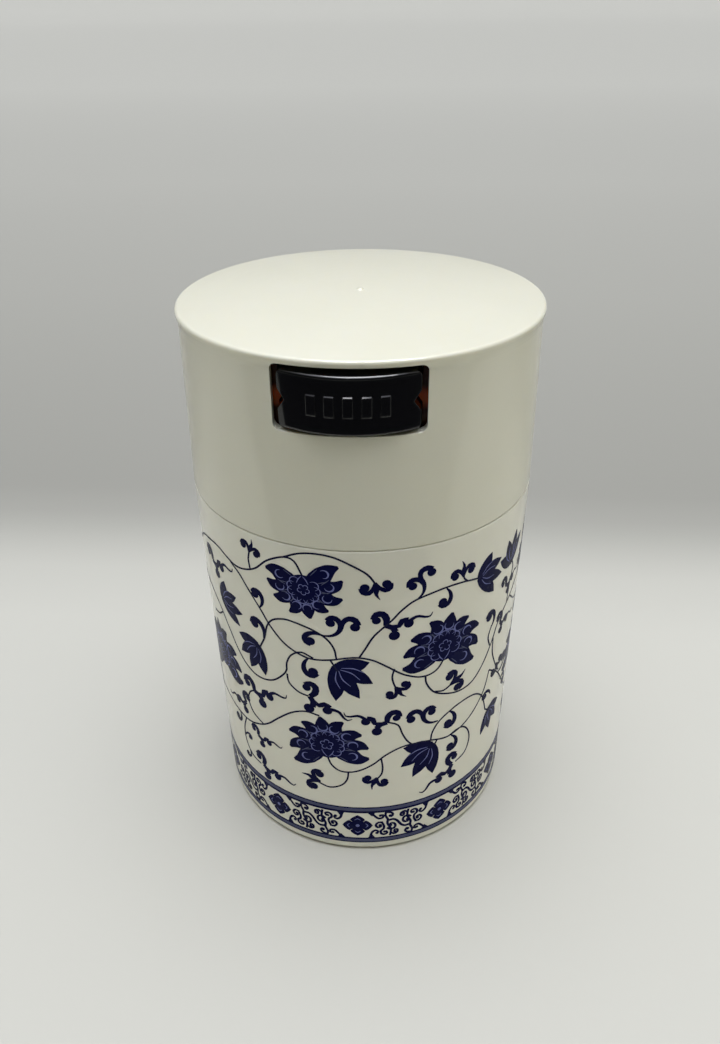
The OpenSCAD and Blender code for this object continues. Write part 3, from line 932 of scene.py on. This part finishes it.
def stage_floor():
    """A wide pale floor with an upturned rim, with the painted shade of the paper in a light tent:
    darker in front, and a darker band behind the canister, which grows lighter again further back."""
    turns = [2 * math.pi * i / FLOOR_SIDES for i in range(FLOOR_SIDES)]
    vertices = [(0, 0, 0)]
    for radius, height in FLOOR_PROFILE:
        vertices += [(radius * math.cos(t), radius * math.sin(t), height) for t in turns]
    faces = [(0, 1 + i, 1 + (i + 1) % FLOOR_SIDES) for i in range(FLOOR_SIDES)]
    for ring, i in product(range(len(FLOOR_PROFILE) - 1), range(FLOOR_SIDES)):
        inner = 1 + ring * FLOOR_SIDES
        outer = inner + FLOOR_SIDES
        after = (i + 1) % FLOOR_SIDES
        faces.append((inner + i, outer + i, outer + after, inner + after))
    floor = new_object("floor", new_mesh("floor", vertices, faces, [floor_paper()]))


def painted_reflection_card():
    """A black card on the floor in front, out of the picture: a painted dark reflection in the
    button's face, standing in for the shade in front of it.
    """
    half_width, front, back = 0.8, -0.9, -0.14
    corners = ((-half_width, front), (half_width, front), (half_width, back), (-half_width, back))
    black = new_material("painted_reflection_card", (0.01, 0.01, 0.012), 0.8)
    mesh = new_mesh("painted_reflection_card", [(x, y, MM) for x, y in corners], [(0, 1, 2, 3)], [black])
    card = new_object("painted_reflection_card", mesh)
    # seen only in glossy reflections, so it paints a dark reflection and lights or shades nothing
    card.visible_camera = False
    card.visible_diffuse = False
    card.visible_shadow = False


def area_light(name, place, size, power, colour=WHITE):
    """A soft rectangular light at place, aimed at the middle of the canister."""
    light = bpy.data.lights.new(name, "AREA")
    light.shape = "RECTANGLE"
    light.size, light.size_y = size
    light.energy = power
    light.color = colour
    lamp = new_object(name, light)
    lamp.location = place
    aim = canister_middle - Vector(place)
    lamp.rotation_euler = aim.to_track_quat("-Z", "Y").to_euler()
    return lamp


def make_world():
    """A light tent: bright overhead, dim towards the horizon, and a plain pale grey to look at."""
    world = bpy.data.worlds.new("surround")
    world.use_nodes = True
    tree = world.node_tree
    overhead = calculated(
        tree, "POWER", coordinate(tree, "Z", "Generated"), SKY_FALL, use_clamp=True
    )
    sky = mixed(tree, overhead, (0.05, 0.048, 0.042), (7.6, 7.8, 8.7))
    seen = add_node(tree, "LightPath", {}).outputs["Is Camera Ray"]
    feed(tree.nodes["Background"], {"Color": mixed(tree, seen, sky, (0.56, 0.55, 0.52))})
    scene.world = world


def make_camera():
    """The photograph's camera: in front, above, and looking down at the canister."""
    camera = bpy.data.cameras.new("camera")
    image_w, image_h, focal_px = 720, 1044, 860
    camera.sensor_width = 36
    camera.lens = camera.sensor_width * focal_px / max(image_w, image_h)
    camera.clip_start = 0.01
    body = new_object("camera", camera)
    place = Matrix.Translation((0.0127, -0.2074, 0.2135))
    turn = Matrix.Rotation(math.radians(3.7), 4, "Z")
    tilt = Matrix.Rotation(math.radians(58.46), 4, "X")
    roll = Matrix.Rotation(math.radians(-0.67), 4, "Z")
    body.matrix_world = place @ turn @ tilt @ roll
    scene.camera = body


stage_floor()
painted_reflection_card()
make_world()
area_light("top_light", (0, 0.15, 0.9), (0.9, 0.9), 1)
gloss_light = area_light("gloss_light", (0.05, -0.1, 0.9), (0.5, 0.5), 6)
gloss_light.visible_diffuse = False
gloss_light.visible_transmission = False
area_light("left_light", (-0.7, -0.1, 0.4), (0.4, 0.8), 0.1, WARM)
area_light("right_light", (0.7, -0.1, 0.4), (0.4, 0.8), 0.65, WARM)
make_camera()
scene.view_settings.view_transform = "Standard"
